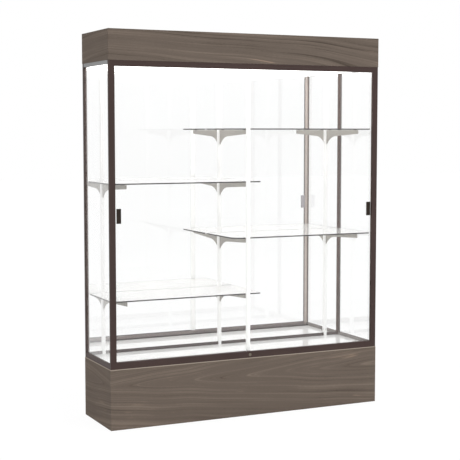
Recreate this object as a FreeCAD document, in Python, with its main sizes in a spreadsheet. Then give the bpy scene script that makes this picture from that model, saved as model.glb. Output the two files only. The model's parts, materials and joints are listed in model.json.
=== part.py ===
import FreeCAD, Part
import Sketcher
import os
import re

# Lighted display case: plinth, aluminium frame with glass ends, two sliding glass doors, mirror
# back, glass shelves on slotted standards, and a lit canopy.
# Millimetres. X runs along the front, Y from front to back, Z up. Origin: bottom centre.

sizes = {
    # the case
    "case_width": 1580.0,
    "case_depth": 406.4,
    "case_height": 2032.0,
    "plinth_height": 314.0,
    "canopy_height": 156.0,
    "frame_setback": 1.5,
    # clearances
    "slip_clearance": 0.2,
    "running_clearance": 0.05,
    "overrun": 5.0,
    # wood-look panels
    "panel_thickness": 19.0,
    "board_thickness": 12.0,
    "stretcher_spacing": 520.0,
    "corner_block": 40.0,
    "corner_block_gap": 12.0,
    "canopy_back_inset": 11.2,
    "canopy_top_inset": 12.0,
    # frame
    "front_post_width": 31.8,
    "front_post_depth": 15.0,
    "rear_post_depth": 19.7,
    "rear_post_width": 21.0,
    "side_rail_width": 16.0,
    "bottom_rail_height": 27.0,
    "top_rail_height": 19.0,
    "rail_wall": 2.5,
    "sill_height": 33.5,
    "sill_depth": 37.0,
    "sill_inner_height": 17.0,
    "header_height": 30.5,
    "ledge_width": 8.0,
    "ledge_thickness": 2.0,
    "rear_lip": 2.8,
    # glass ends
    "side_glass_thickness": 5.0,
    "glazing_cover": 4.2,
    "gasket_wall": 1.2,
    "glazing_groove_depth": 6.0,
    # mirror back
    "mirror_thickness": 4.8,
    "back_board_thickness": 4.0,
    "mirror_groove_depth": 6.0,
    # deck and ceiling
    "deck_thickness": 10.0,
    "diffuser_thickness": 3.0,
    # doors
    "door_glass_thickness": 4.8,
    "door_pitch": 10.6,
    "door_post_gap": 1.5,
    "door_tuck": 8.3,
    "door_overlap": 25.0,
    "shoe_width": 9.0,
    "shoe_end_gap": 11.0,
    "shoe_web": 2.0,
    "shoe_glass_hold": 12.0,
    "shoe_floor_gap": 1.5,
    "pull_width": 24.5,
    "pull_height": 76.0,
    "pull_thickness": 4.0,
    "left_pull_inset": 13.7,
    "right_pull_inset": 2.0,
    "pull_centre_height": 1093.0,
    "pull_rim": 3.0,
    "pull_recess": 2.6,
    "seal_base": 1.5,
    "seal_rib_width": 4.0,
    "seal_rib_height": 3.1,
    "seal_end_gap": 2.0,
    # door tracks
    "track_base": 1.5,
    "track_rib_width": 2.0,
    "track_rib_height": 3.0,
    "track_leg": 1.5,
    "track_play": 0.8,
    "track_leg_height": 22.0,
    "door_lift_room": 8.0,
    # rollers
    "roller_radius": 6.5,
    "roller_groove_radius": 5.0,
    "roller_groove_width": 2.6,
    "roller_axle_radius": 1.45,
    "roller_end_gap": 60.0,
    # lock
    "lock_face_radius": 8.0,
    "lock_barrel_radius": 6.0,
    "lock_barrel_length": 7.2,
    "lock_plug_radius": 4.0,
    "lock_key_width": 1.2,
    "lock_key_height": 5.0,
    "lock_key_depth": 3.0,
    "lock_cam_length": 12.0,
    "lock_cam_thickness": 1.5,
    # standards
    "standard_width": 16.0,
    "standard_depth": 8.0,
    "standard_wall": 1.5,
    "standard_inset": 87.5,
    "slot_width": 4.6,
    "slot_height": 13.0,
    "slot_pitch": 20.0,
    "slot_first": 36.0,
    # shelves and brackets
    "shelf_thickness": 6.4,
    "shelf_end_gap": 9.0,
    "shelf_reach": 81.0,
    "shelf_front_gap": 2.5,
    "shelf_rear_gap": 2.0,
    "shelf_left_corner_radius": 50.0,
    "shelf_right_corner_radius": 10.0,
    "bracket_thickness": 4.0,
    "bracket_front_gap": 3.0,
    "bracket_tip_height": 21.0,
    "bracket_tip_chamfer": 3.0,
    "bracket_blade_height": 34.0,
    "bracket_root_height": 82.0,
    "bracket_curve_length": 104.0,
    "hook_top": 16.0,
    "hook_neck": 6.0,
    "hook_drop": 4.5,
    "hook_thickness": 2.5,
    "pad_height": 1.6,
    "pad_length": 24.0,
    # how far up the row of slots each shelf hangs
    "right_upper_shelf_share": 0.794,
    "left_upper_shelf_share": 0.602,
    "right_lower_shelf_share": 0.397,
    "left_lower_shelf_share": 0.1917,
    # light
    "led_spacing": 180.0,
    "led_end_gap": 71.0,
    "led_width": 20.0,
    "led_height": 12.0,
    "led_wall": 1.5,
    "led_strip_width": 12.0,
    "led_strip_thickness": 1.6,
    "driver_length": 160.0,
    "driver_width": 40.0,
    "driver_height": 28.0,
    "driver_round": 3.0,
    # back of the canopy
    "fitting_height": 84.0,
    "fitting_inset": 90.0,
    "switch_spacing": 60.0,
    "switch_width": 15.0,
    "switch_height": 21.0,
    "switch_flange": 2.5,
    "switch_flange_thickness": 2.0,
    "switch_depth": 16.0,
    "switch_wall": 1.5,
    "rocker_play": 0.5,
    "rocker_end_gap": 1.8,
    "rocker_proud": 1.8,
    "rocker_depth": 3.0,
    "rocker_pivot_depth": 5.0,
    "rocker_pin_radius": 1.0,
    "rocker_pin_hold": 1.2,
    "rocker_tilt": 10.0,
    "gland_flange_radius": 12.0,
    "gland_flange_thickness": 4.0,
    "gland_barrel_radius": 8.0,
    "gland_barrel_tail": 6.0,
    "gland_nose_radius": 6.5,
    "gland_nose_length": 6.0,
    "gland_bore_radius": 4.0,
}

# places worked out from the sizes
places = {
    "half_width": "case_width / 2",
    "half_depth": "case_depth / 2",
    "canopy_bottom": "case_height - canopy_height",
    "frame_side": "half_width - frame_setback",
    "frame_front": "frame_setback - half_depth",
    "frame_back": "half_depth - frame_setback",
    "panel_side": "half_width - panel_thickness",
    "panel_front": "panel_thickness - half_depth",
    "panel_back": "half_depth - panel_thickness",
    "post_side": "frame_side - front_post_width",
    "post_back": "frame_front + front_post_depth",
    "rear_post_front": "frame_back - rear_post_depth",
    "rear_post_side": "frame_side - rear_post_width",
    "rail_side": "frame_side - side_rail_width",
    "bottom_rail_top": "plinth_height + bottom_rail_height",
    "top_rail_bottom": "canopy_bottom - top_rail_height",
    "sill_top": "plinth_height + sill_height",
    "sill_back": "frame_front + sill_depth",
    "sill_floor": "plinth_height + rail_wall",
    "header_bottom": "canopy_bottom - header_height",
    "header_roof": "canopy_bottom - rail_wall",
    "ledge_top": "top_rail_bottom + ledge_thickness",
    "glazing_out": "frame_side - glazing_cover",
    "glazing_width": "side_glass_thickness + 2 * gasket_wall + 2 * slip_clearance",
    "glazing_in": "glazing_out - glazing_width",
    "mirror_groove_width": "mirror_thickness + back_board_thickness + 2 * slip_clearance",
    "rear_rail_front": "frame_back - rear_lip - mirror_groove_width - rail_wall",
    "mirror_groove_front": "rear_rail_front + rear_lip",
    "mirror_groove_back": "mirror_groove_front + mirror_groove_width",
    "mirror_front": "mirror_groove_front + slip_clearance",
    "mirror_back": "mirror_front + mirror_thickness",
    "mirror_side": "rear_post_side + mirror_groove_depth - slip_clearance",
    "mirror_bottom": "bottom_rail_top - mirror_groove_depth + slip_clearance",
    "mirror_top": "top_rail_bottom + mirror_groove_depth - slip_clearance",
    "deck_top": "plinth_height + deck_thickness",
    "front_door_middle": "post_back + door_post_gap + door_glass_thickness / 2",
    "rear_door_middle": "front_door_middle + door_pitch",
    "rib_top": "sill_floor + track_base + track_rib_height",
    "roller_axis": "rib_top + roller_groove_radius + running_clearance",
    "shoe_bottom": "sill_floor + track_base + shoe_floor_gap",
    "shoe_web_bottom": "roller_axis + roller_radius + 2 * slip_clearance",
    "glass_seat": "shoe_web_bottom + shoe_web",
    "shoe_top": "glass_seat + shoe_glass_hold",
    "shoe_slot": "door_glass_thickness / 2 + slip_clearance / 2",
    "door_top": "header_roof - track_base - door_lift_room",
    "door_end": "post_side + door_tuck",
    "shoe_end": "door_end - shoe_end_gap",
    "roller_outer": "shoe_end - roller_end_gap",
    "roller_inner": "roller_end_gap - door_overlap / 2",
    "track_front": "front_door_middle - door_glass_thickness / 2 - track_play - track_leg",
    "track_back": "rear_door_middle + door_glass_thickness / 2 + track_play + track_leg",
    "lock_height": "plinth_height + sill_height / 2",
    "lock_face": "frame_front - frame_setback",
    "cam_front": "frame_front + lock_barrel_length + slip_clearance",
    "standard_front": "rear_rail_front - standard_depth",
    "standard_top": "top_rail_bottom",
    "standard_reach": "rail_side - standard_inset",
    "slot_floor": "deck_top + slot_first - slot_height / 2",
    "slot_run": "standard_top - deck_top - 2 * slot_first",
    "shelf_front": "rear_door_middle + door_glass_thickness / 2 + shelf_front_gap",
    "shelf_rear": "standard_front - shelf_rear_gap",
    "shelf_end": "rail_side - shelf_end_gap",
    "bracket_front": "shelf_front + bracket_front_gap",
    "bracket_drop": "bracket_root_height - bracket_blade_height",
    "bracket_curve_start": "standard_front - bracket_curve_length",
    "bracket_curve_radius":
        "(bracket_curve_length * bracket_curve_length + bracket_drop * bracket_drop) / (2 * bracket_drop)",
    "canopy_back_face": "half_depth - canopy_back_inset",
    "canopy_back_front": "canopy_back_face - board_thickness",
    "canopy_top_top": "case_height - canopy_top_inset",
    "canopy_top_bottom": "canopy_top_top - board_thickness",
    "led_end": "panel_side - led_end_gap",
    "fitting_level": "canopy_bottom + fitting_height",
    "gland_middle": "fitting_inset - half_width",
    "switch_middle": "gland_middle + switch_spacing",
    "rocker_half_width": "switch_width / 2 - switch_wall - rocker_play",
    "rocker_half_height": "switch_height / 2 - switch_wall - rocker_end_gap",
    "switch_face": "canopy_back_face + switch_flange_thickness",
    "rocker_pivot": "switch_face - rocker_pivot_depth",
}

doc = FreeCAD.newDocument("display_case")
sheet = doc.addObject("Spreadsheet::Sheet", "sizes")
for row, (name, number) in enumerate(sizes.items(), start=1):
    sheet.set(f"A{row}", name)
    sheet.set(f"B{row}", str(number))
    sheet.setAlias(f"B{row}", name)
doc.recompute()

word = re.compile(r"[a-z_]+")
sub_parts = []


def bind(formula):
    """A formula in the names above, written as an expression on the sheet's cells."""
    def replace(match):
        name = match.group(0)
        if name in places:
            return "(" + bind(places[name]) + ")"
        return "sizes." + name if name in sizes else name
    return word.sub(replace, str(formula))


def number(formula):
    return float(doc.sizes.evalExpression(bind(formula).replace("sizes.", "")))


def keep(label, thing):
    thing.Label = label
    sub_parts.append(thing)
    return thing


def place(thing, x="0", y="0", z="0"):
    for axis, formula in zip("xyz", (x, y, z)):
        thing.setExpression(f"Placement.Base.{axis}", bind(formula))
    return thing


def box(name, x, y, z):
    """A box between two formulas on each axis."""
    block = doc.addObject("Part::Box", name)
    for side, (low, high) in zip(("Length", "Width", "Height"), (x, y, z)):
        block.setExpression(side, bind(f"({high}) - ({low})"))
    return place(block, x[0], y[0], z[0])


def rod(name, radius, x, z, y):
    """A round bar along Y, between two formulas."""
    bar = doc.addObject("Part::Cylinder", name)
    bar.setExpression("Radius", bind(radius))
    bar.setExpression("Height", bind(f"({y[1]}) - ({y[0]})"))
    bar.Placement.Rotation = FreeCAD.Rotation(FreeCAD.Vector(1, 0, 0), -90)
    return place(bar, x, y[0], z)


def group(name, members):
    bundle = doc.addObject("Part::Compound", name)
    bundle.Links = members
    return bundle


def cut(name, base, *tools):
    trimmed = doc.addObject("Part::Cut", name)
    trimmed.Base = base
    trimmed.Tool = tools[0] if len(tools) == 1 else group(name + "_tools", list(tools))
    return trimmed


def outline(body, plane, points, arcs=None):
    """A closed sketch whose corners follow formulas. arcs gives the centre of a round side."""
    arcs = arcs or {}
    sketch = body.newObject("Sketcher::SketchObject", body.Name + "_outline")
    support = [flat for flat in body.Origin.OriginFeatures if flat.Role == plane][0]
    sketch.AttachmentSupport = [(support, "")]
    sketch.MapMode = "FlatFace"
    corners = [FreeCAD.Vector(number(u), number(v), 0) for u, v in points]
    starts, ends = [], []
    for side, (first, last) in enumerate(zip(corners, corners[1:] + corners[:1])):
        edge = Part.LineSegment(first, last)
        if side in arcs:
            centre = FreeCAD.Vector(*[number(formula) for formula in arcs[side]], 0)
            middle = (first + last) * 0.5 - centre
            radius = (first - centre).Length
            edge = Part.Arc(first, centre + middle.normalize() * radius, last)
        sketch.addGeometry(edge)
        forward = (sketch.getPoint(side, 1) - first).Length <= (sketch.getPoint(side, 2) - first).Length
        starts.append(1 if forward else 2)
        ends.append(2 if forward else 1)
    for side in range(len(corners)):
        following = (side + 1) % len(corners)
        sketch.addConstraint(
            Sketcher.Constraint("Coincident", side, ends[side], following, starts[following]))
    pins = [(side, starts[side], point, (0, 1)) for side, point in enumerate(points)]
    pins += [(side, 3, centre, (0,)) for side, centre in arcs.items()]
    for side, end, formulas, axes in pins:
        for axis in axes:
            kind = ("DistanceX", "DistanceY")[axis]
            pin = sketch.addConstraint(
                Sketcher.Constraint(kind, -1, 1, side, end, number(formulas[axis])))
            sketch.setExpression(f"Constraints[{pin}]", bind(formulas[axis]))
    return sketch


def padded(name, plane, points, low, high, arcs=None):
    """An outline drawn on a plane and extruded between two formulas square to it."""
    body = doc.addObject("PartDesign::Body", name)
    pad = body.newObject("PartDesign::Pad", name + "_pad")
    pad.Profile = outline(body, plane, points, arcs)
    pad.setExpression("Length", bind(f"({high}) - ({low})"))
    pad.Reversed = plane == "XZ_Plane"
    normal = {"YZ_Plane": "x", "XZ_Plane": "y", "XY_Plane": "z"}[plane]
    body.setExpression(f"Placement.Base.{normal}", bind(low))
    return body


def turned(name, points, x, y, z):
    """A profile of radius and length, turned about an axis along Y."""
    body = doc.addObject("PartDesign::Body", name)
    sketch = outline(body, "XY_Plane", points)
    turn = body.newObject("PartDesign::Revolution", name + "_turn")
    turn.Profile = sketch
    turn.ReferenceAxis = (sketch, ["V_Axis"])
    return place(body, x, y, z)


def round_edges(body, base, radius, wanted):
    """Fillets the edges of a feature that the test picks."""
    doc.recompute()
    names = [f"Edge{i}" for i, edge in enumerate(base.Shape.Edges, start=1) if wanted(edge)]
    fillet = body.newObject("PartDesign::Fillet", base.Name + "_round")
    fillet.Base = (base, names)
    fillet.setExpression("Radius", bind(radius))
    return fillet


def upright(edge):
    along = edge.Vertexes[-1].Point - edge.Vertexes[0].Point
    return abs(along.x) + abs(along.y) < abs(along.z)


sides = {"left": "-1", "right": "1"}


def span(side, low, high):
    """Two formulas along X on the left or right side, low one first."""
    if side == "left":
        return f"-({high})", f"-({low})"
    return low, high


# Plinth and canopy

def mitred_front(name, bottom, top):
    """A front panel whose ends are mitred into the end panels."""
    points = [("-half_width", "-half_depth"), ("half_width", "-half_depth"),
              ("panel_side", "panel_front"), ("-panel_side", "panel_front")]
    return keep(name, padded(name, "XY_Plane", points, bottom, top))


def mitred_end(name, side, bottom, top):
    sign = sides[side]
    points = [(f"{sign} * half_width", "-half_depth"), (f"{sign} * half_width", "half_depth"),
              (f"{sign} * panel_side", "half_depth"), (f"{sign} * panel_side", "panel_front")]
    return keep(name, padded(name, "XY_Plane", points, bottom, top))


def wooden_boxes():
    for name, bottom, top in (("base", "0", "plinth_height"),
                              ("canopy", "canopy_bottom", "case_height")):
        mitred_front(f"{name}_front_panel", bottom, top)
        for side in sides:
            mitred_end(f"{name}_{side}_panel", side, bottom, top)
    inside = ("-panel_side", "panel_side")
    board_bottom = "plinth_height - board_thickness"
    keep("base_back_panel",
         box("base_back_panel", inside, ("panel_back", "half_depth"), ("0", "plinth_height")))
    keep("base_top_board",
         box("base_top_board", inside, ("panel_front", "panel_back"), (board_bottom, "plinth_height")))
    keep("canopy_top_board",
         box("canopy_top_board", inside, ("panel_front", "canopy_back_front"),
             ("canopy_top_bottom", "canopy_top_top")))
    framing = []
    for side in sides:
        x = span(side, "stretcher_spacing / 2", "stretcher_spacing / 2 + panel_thickness")
        framing.append(box(f"{side}_stretcher", x, ("panel_front", "panel_back"), ("0", board_bottom)))
        x = span(side, "panel_side - corner_block", "panel_side")
        for end, y in (("front", ("panel_front", "panel_front + corner_block")),
                       ("rear", ("panel_back - corner_block", "panel_back"))):
            framing.append(
                box(f"{side}_{end}_block", x, y, ("corner_block_gap", board_bottom)))
    keep("base_framing", group("base_framing", framing))


def canopy_back():
    """Back of the canopy, with the cut-outs for the switch and the cord gland."""
    board = box("canopy_back_board", ("-panel_side", "panel_side"),
                ("canopy_back_front", "canopy_back_face"), ("canopy_bottom", "case_height"))
    through = ("canopy_back_front - overrun", "canopy_back_face + overrun")
    half_width = "switch_width / 2 + slip_clearance"
    half_height = "switch_height / 2 + slip_clearance"
    switch_hole = box("switch_hole", (f"switch_middle - ({half_width})", f"switch_middle + {half_width}"),
                      through, (f"fitting_level - ({half_height})", f"fitting_level + {half_height}"))
    gland_hole = rod("gland_hole", "gland_barrel_radius + slip_clearance", "gland_middle",
                     "fitting_level", through)
    keep("canopy_back_panel", cut("canopy_back_panel", board, switch_hole, gland_hole))


# Frame

def posts():
    for side, sign in sides.items():
        def at(points):
            return [(f"{sign} * ({x})", y) for x, y in points]
        keep(f"front_{side}_post", padded(f"front_{side}_post", "XY_Plane", at([
            ("post_side", "frame_front"), ("frame_side", "frame_front"), ("frame_side", "post_back"),
            ("glazing_out", "post_back"), ("glazing_out", "post_back - glazing_groove_depth"),
            ("glazing_in", "post_back - glazing_groove_depth"), ("glazing_in", "post_back"),
            ("post_side", "post_back")]), "plinth_height", "canopy_bottom"))
        keep(f"rear_{side}_post", padded(f"rear_{side}_post", "XY_Plane", at([
            ("rear_post_side", "rear_post_front"), ("glazing_in", "rear_post_front"),
            ("glazing_in", "rear_post_front + glazing_groove_depth"),
            ("glazing_out", "rear_post_front + glazing_groove_depth"),
            ("glazing_out", "rear_post_front"), ("frame_side", "rear_post_front"),
            ("frame_side", "frame_back"), ("rear_post_side", "frame_back"),
            ("rear_post_side", "mirror_groove_back"),
            ("rear_post_side + mirror_groove_depth", "mirror_groove_back"),
            ("rear_post_side + mirror_groove_depth", "mirror_groove_front"),
            ("rear_post_side", "mirror_groove_front")]), "plinth_height", "canopy_bottom"))


def side_rails():
    """Grooved bars that hold the bottom and top edges of the glass ends."""
    for side, sign in sides.items():
        for name, face, back, groove in (
                (f"{side}_bottom_rail", "bottom_rail_top", "plinth_height",
                 "bottom_rail_top - glazing_groove_depth"),
                (f"{side}_top_rail", "top_rail_bottom", "canopy_bottom",
                 "top_rail_bottom + glazing_groove_depth")):
            points = [("rail_side", face), ("glazing_in", face), ("glazing_in", groove),
                      ("glazing_out", groove), ("glazing_out", face), ("frame_side", face),
                      ("frame_side", back), ("rail_side", back)]
            keep(name, padded(name, "XZ_Plane", [(f"{sign} * ({x})", z) for x, z in points],
                              "post_back", "rear_post_front"))


def rear_rails():
    length = ("-rear_post_side", "rear_post_side")
    groove = "bottom_rail_top - mirror_groove_depth"
    keep("rear_bottom_rail", padded("rear_bottom_rail", "YZ_Plane", [
        ("rear_rail_front", "plinth_height"), ("frame_back", "plinth_height"),
        ("frame_back", "bottom_rail_top"), ("mirror_groove_back", "bottom_rail_top"),
        ("mirror_groove_back", groove), ("mirror_groove_front", groove),
        ("mirror_groove_front", "bottom_rail_top"), ("rear_rail_front", "bottom_rail_top")], *length))
    groove = "top_rail_bottom + mirror_groove_depth"
    keep("rear_top_rail", padded("rear_top_rail", "YZ_Plane", [
        ("rear_rail_front", "canopy_bottom"), ("rear_rail_front", "ledge_top"),
        ("rear_rail_front - ledge_width", "ledge_top"),
        ("rear_rail_front - ledge_width", "top_rail_bottom"),
        ("mirror_groove_front", "top_rail_bottom"), ("mirror_groove_front", groove),
        ("mirror_groove_back", groove), ("mirror_groove_back", "top_rail_bottom"),
        ("frame_back", "top_rail_bottom"), ("frame_back", "canopy_bottom")], *length))


def front_rails():
    """Sill and header: open channels round the door tracks, notched round the posts."""
    length = ("-rail_side", "rail_side")
    notches = {"sill": [], "header": []}
    for side in sides:
        x = span(side, "post_side", "rail_side + overrun")
        y = ("frame_front - overrun", "post_back")
        for rail, z in (("sill", ("plinth_height - overrun", "sill_top + overrun")),
                        ("header", ("header_bottom - overrun", "canopy_bottom + overrun"))):
            notches[rail].append(box(f"{side}_{rail}_notch", x, y, z))
    lip = "plinth_height + sill_inner_height"
    sill = padded("sill_channel", "YZ_Plane", [
        ("frame_front", "plinth_height"), ("sill_back", "plinth_height"), ("sill_back", lip),
        ("sill_back - rail_wall", lip), ("sill_back - rail_wall", "sill_floor"),
        ("frame_front + rail_wall", "sill_floor"), ("frame_front + rail_wall", "sill_top"),
        ("frame_front", "sill_top")], *length)
    lock_hole = rod("lock_hole", "lock_barrel_radius + slip_clearance / 2", "0", "lock_height",
                    ("frame_front - overrun", "frame_front + rail_wall + overrun"))
    keep("front_sill", cut("front_sill", sill, lock_hole, *notches["sill"]))
    header = padded("header_channel", "YZ_Plane", [
        ("frame_front", "canopy_bottom"), ("frame_front", "header_bottom"),
        ("frame_front + rail_wall", "header_bottom"), ("frame_front + rail_wall", "header_roof"),
        ("sill_back - rail_wall", "header_roof"), ("sill_back - rail_wall", "top_rail_bottom"),
        ("sill_back + ledge_width", "top_rail_bottom"), ("sill_back + ledge_width", "ledge_top"),
        ("sill_back", "ledge_top"), ("sill_back", "canopy_bottom")], *length)
    keep("front_header", cut("front_header", header, *notches["header"]))


# Glass ends, mirror, deck and ceiling

def glass_ends():
    """Each pane sits in a U-shaped gasket ring that fills the groove of the frame."""
    ring_y = ("post_back - glazing_groove_depth + slip_clearance",
              "rear_post_front + glazing_groove_depth - slip_clearance")
    ring_z = ("bottom_rail_top - glazing_groove_depth + slip_clearance",
              "top_rail_bottom + glazing_groove_depth - slip_clearance")
    pane_y = (f"{ring_y[0]} + gasket_wall", f"{ring_y[1]} - gasket_wall")
    pane_z = (f"{ring_z[0]} + gasket_wall", f"{ring_z[1]} - gasket_wall")
    ring_in, ring_out = "glazing_in + slip_clearance", "glazing_out - slip_clearance"
    gaskets = []
    for side in sides:
        pane_x = span(side, f"{ring_in} + gasket_wall", f"{ring_out} - gasket_wall")
        keep(f"{side}_side_glass", box(f"{side}_side_glass", pane_x, pane_y, pane_z))
        ring = box(f"{side}_ring", span(side, ring_in, ring_out), ring_y, ring_z)
        window = box(f"{side}_window", span(side, f"{ring_in} - overrun", f"{ring_out} + overrun"),
                     ("post_back", "rear_post_front"), ("bottom_rail_top", "top_rail_bottom"))
        slot = box(f"{side}_pane_slot", pane_x, pane_y, pane_z)
        gaskets.append(cut(f"{side}_gasket", cut(f"{side}_open_ring", ring, window), slot))
    keep("glazing_gaskets", group("glazing_gaskets", gaskets))


def back_and_floor():
    back_x = ("-mirror_side", "mirror_side")
    back_z = ("mirror_bottom", "mirror_top")
    keep("mirror_panel", box("mirror_panel", back_x, ("mirror_front", "mirror_back"), back_z))
    keep("back_board",
         box("back_board", back_x, ("mirror_back", "mirror_back + back_board_thickness"), back_z))
    inside_x = ("slip_clearance - rail_side", "rail_side - slip_clearance")
    inside_y = ("sill_back + slip_clearance", "rear_rail_front - slip_clearance")
    for name, z in (("deck_panel", ("plinth_height", "deck_top")),
                    ("diffuser_panel", ("ledge_top", "ledge_top + diffuser_thickness"))):
        notches = [box(f"{name}_{side}_notch", span(side, "rear_post_side - slip_clearance", "rail_side + overrun"),
                       ("rear_post_front - slip_clearance", "rear_rail_front + overrun"),
                       (f"{z[0]} - overrun", f"{z[1]} + overrun")) for side in sides]
        keep(name, cut(name, box(f"{name}_sheet", inside_x, inside_y, z), *notches))


# Sliding doors. The left door runs in the rear track, the right door in the front track.

doors = {"left": "rear_door_middle", "right": "front_door_middle"}


def door_tracks():
    rib, base = "track_rib_width / 2", "sill_floor + track_base"
    back = "sill_back - rail_wall - slip_clearance"
    points = [("track_front", "sill_floor"), (back, "sill_floor"), (back, base)]
    for middle in ("rear_door_middle", "front_door_middle"):
        points += [(f"{middle} + {rib}", base), (f"{middle} + {rib}", "rib_top"),
                   (f"{middle} - {rib}", "rib_top"), (f"{middle} - {rib}", base)]
    points.append(("track_front", base))
    length = ("-post_side", "post_side")
    keep("lower_door_track", padded("lower_door_track", "YZ_Plane", points, *length))
    half, roof = "(door_glass_thickness / 2 + track_play)", "header_roof - track_base"
    foot = "header_roof - track_leg_height"
    points = [("track_front", "header_roof"), ("track_front", foot)]
    for middle in ("front_door_middle", "rear_door_middle"):
        points += [(f"{middle} - {half}", foot), (f"{middle} - {half}", roof),
                   (f"{middle} + {half}", roof), (f"{middle} + {half}", foot)]
    points += [("track_back", foot), ("track_back", "header_roof")]
    keep("upper_door_track", padded("upper_door_track", "YZ_Plane", points, *length))


def door(side, middle):
    """Glass, shoe, pull and two rollers of one door."""
    half = "door_glass_thickness / 2"
    front = f"{middle} - {half}"
    keep(f"{side}_door_glass", box(f"{side}_door_glass", span(side, "-door_overlap / 2", "door_end"),
                                   (front, f"{middle} + {half}"), ("glass_seat", "door_top")))
    wide = "shoe_width / 2"
    shoe = padded(f"{side}_shoe_bar", "YZ_Plane", [(f"{middle} + {u}", v) for u, v in (
        (f"-{wide}", "shoe_bottom"), ("-shoe_slot", "shoe_bottom"), ("-shoe_slot", "shoe_web_bottom"),
        ("shoe_slot", "shoe_web_bottom"), ("shoe_slot", "shoe_bottom"), (wide, "shoe_bottom"),
        (wide, "shoe_top"), ("shoe_slot", "shoe_top"), ("shoe_slot", "glass_seat"),
        ("-shoe_slot", "glass_seat"), ("-shoe_slot", "shoe_top"), (f"-{wide}", "shoe_top"))],
        *span(side, "-door_overlap / 2", "shoe_end"))
    holes = []
    for end in ("outer", "inner"):
        x = f"{sides[side]} * roller_{end}"
        holes.append(rod(f"{side}_{end}_axle_hole", "roller_axle_radius + running_clearance", x,
                         "roller_axis", (f"{middle} - shoe_width", f"{middle} + shoe_width")))
        keep(f"{side}_door_{end}_roller", roller(f"{side}_door_{end}_roller", x, middle))
    keep(f"{side}_door_shoe", cut(f"{side}_door_shoe", shoe, *holes))
    door_pull(side, front)


def roller(name, x, middle):
    """A grooved wheel that turns on its own stub axles and rides on the rib of the track."""
    axle, wheel = "shoe_width / 2", "shoe_slot - slip_clearance"
    groove = "roller_groove_width / 2"
    return turned(name, [
        ("0", f"-{axle}"), ("roller_axle_radius", f"-{axle}"), ("roller_axle_radius", f"-({wheel})"),
        ("roller_radius", f"-({wheel})"), ("roller_radius", f"-{groove}"),
        ("roller_groove_radius", f"-{groove}"), ("roller_groove_radius", groove),
        ("roller_radius", groove), ("roller_radius", wheel), ("roller_axle_radius", wheel),
        ("roller_axle_radius", axle), ("0", axle)], x, middle, "roller_axis")


def door_pull(side, front):
    """A low finger pull with a recess, bonded to the front of the glass."""
    high = f"post_side - {side}_pull_inset"
    low = f"{high} - pull_width"
    bottom, top = "pull_centre_height - pull_height / 2", "pull_centre_height + pull_height / 2"
    plate = box(f"{side}_pull_plate", span(side, low, high), (f"{front} - pull_thickness", front),
                (bottom, top))
    recess = box(f"{side}_pull_recess", span(side, f"{low} + pull_rim", f"{high} - pull_rim"),
                 (f"{front} - pull_thickness - overrun", f"{front} - pull_thickness + pull_recess"),
                 (f"{bottom} + pull_rim", f"{top} - pull_rim"))
    keep(f"{side}_door_pull", cut(f"{side}_door_pull", plate, recess))


def meeting_seal():
    """White strip on the left door, behind the edge of the right door."""
    face, half, rib = "rear_door_middle - door_glass_thickness / 2", "door_overlap / 2", "seal_rib_width / 2"
    keep("door_meeting_seal", padded("door_meeting_seal", "XY_Plane", [
        (f"-{half}", face), (half, face), (half, f"{face} - seal_base"), (rib, f"{face} - seal_base"),
        (rib, f"{face} - seal_base - seal_rib_height"), (f"-{rib}", f"{face} - seal_base - seal_rib_height"),
        (f"-{rib}", f"{face} - seal_base"), (f"-{half}", f"{face} - seal_base")],
        "shoe_top + seal_end_gap", "header_bottom - seal_end_gap"))


def lock():
    """Barrel in the sill, a plug that turns in it, and the cam on the plug's end."""
    flange = "lock_face - frame_front"
    hole = "lock_plug_radius + running_clearance"
    keep("lock_barrel", turned("lock_barrel", [
        (hole, flange), ("lock_face_radius", flange), ("lock_face_radius", "0"),
        ("lock_barrel_radius", "0"), ("lock_barrel_radius", "lock_barrel_length"),
        (hole, "lock_barrel_length")], "0", "frame_front", "lock_height"))
    plug = rod("plug_bar", "lock_plug_radius", "0", "lock_height", ("lock_face", "cam_front"))
    key = box("key_slot", ("-lock_key_width / 2", "lock_key_width / 2"),
              ("lock_face - overrun", "lock_face + lock_key_depth"),
              ("lock_height - lock_key_height / 2", "lock_height + lock_key_height / 2"))
    keep("lock_plug", cut("lock_plug", plug, key))
    cam_y = ("cam_front", "cam_front + lock_cam_thickness")
    hub = rod("cam_hub", "lock_plug_radius", "0", "lock_height", cam_y)
    arm = box("cam_arm", ("-lock_plug_radius", "lock_plug_radius"), cam_y,
              ("lock_height - lock_cam_length", "lock_height"))
    cam = doc.addObject("Part::Fuse", "lock_cam")
    cam.Base = hub
    cam.Tool = arm
    keep("lock_cam", cam)


# Standards, brackets and shelves

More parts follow.
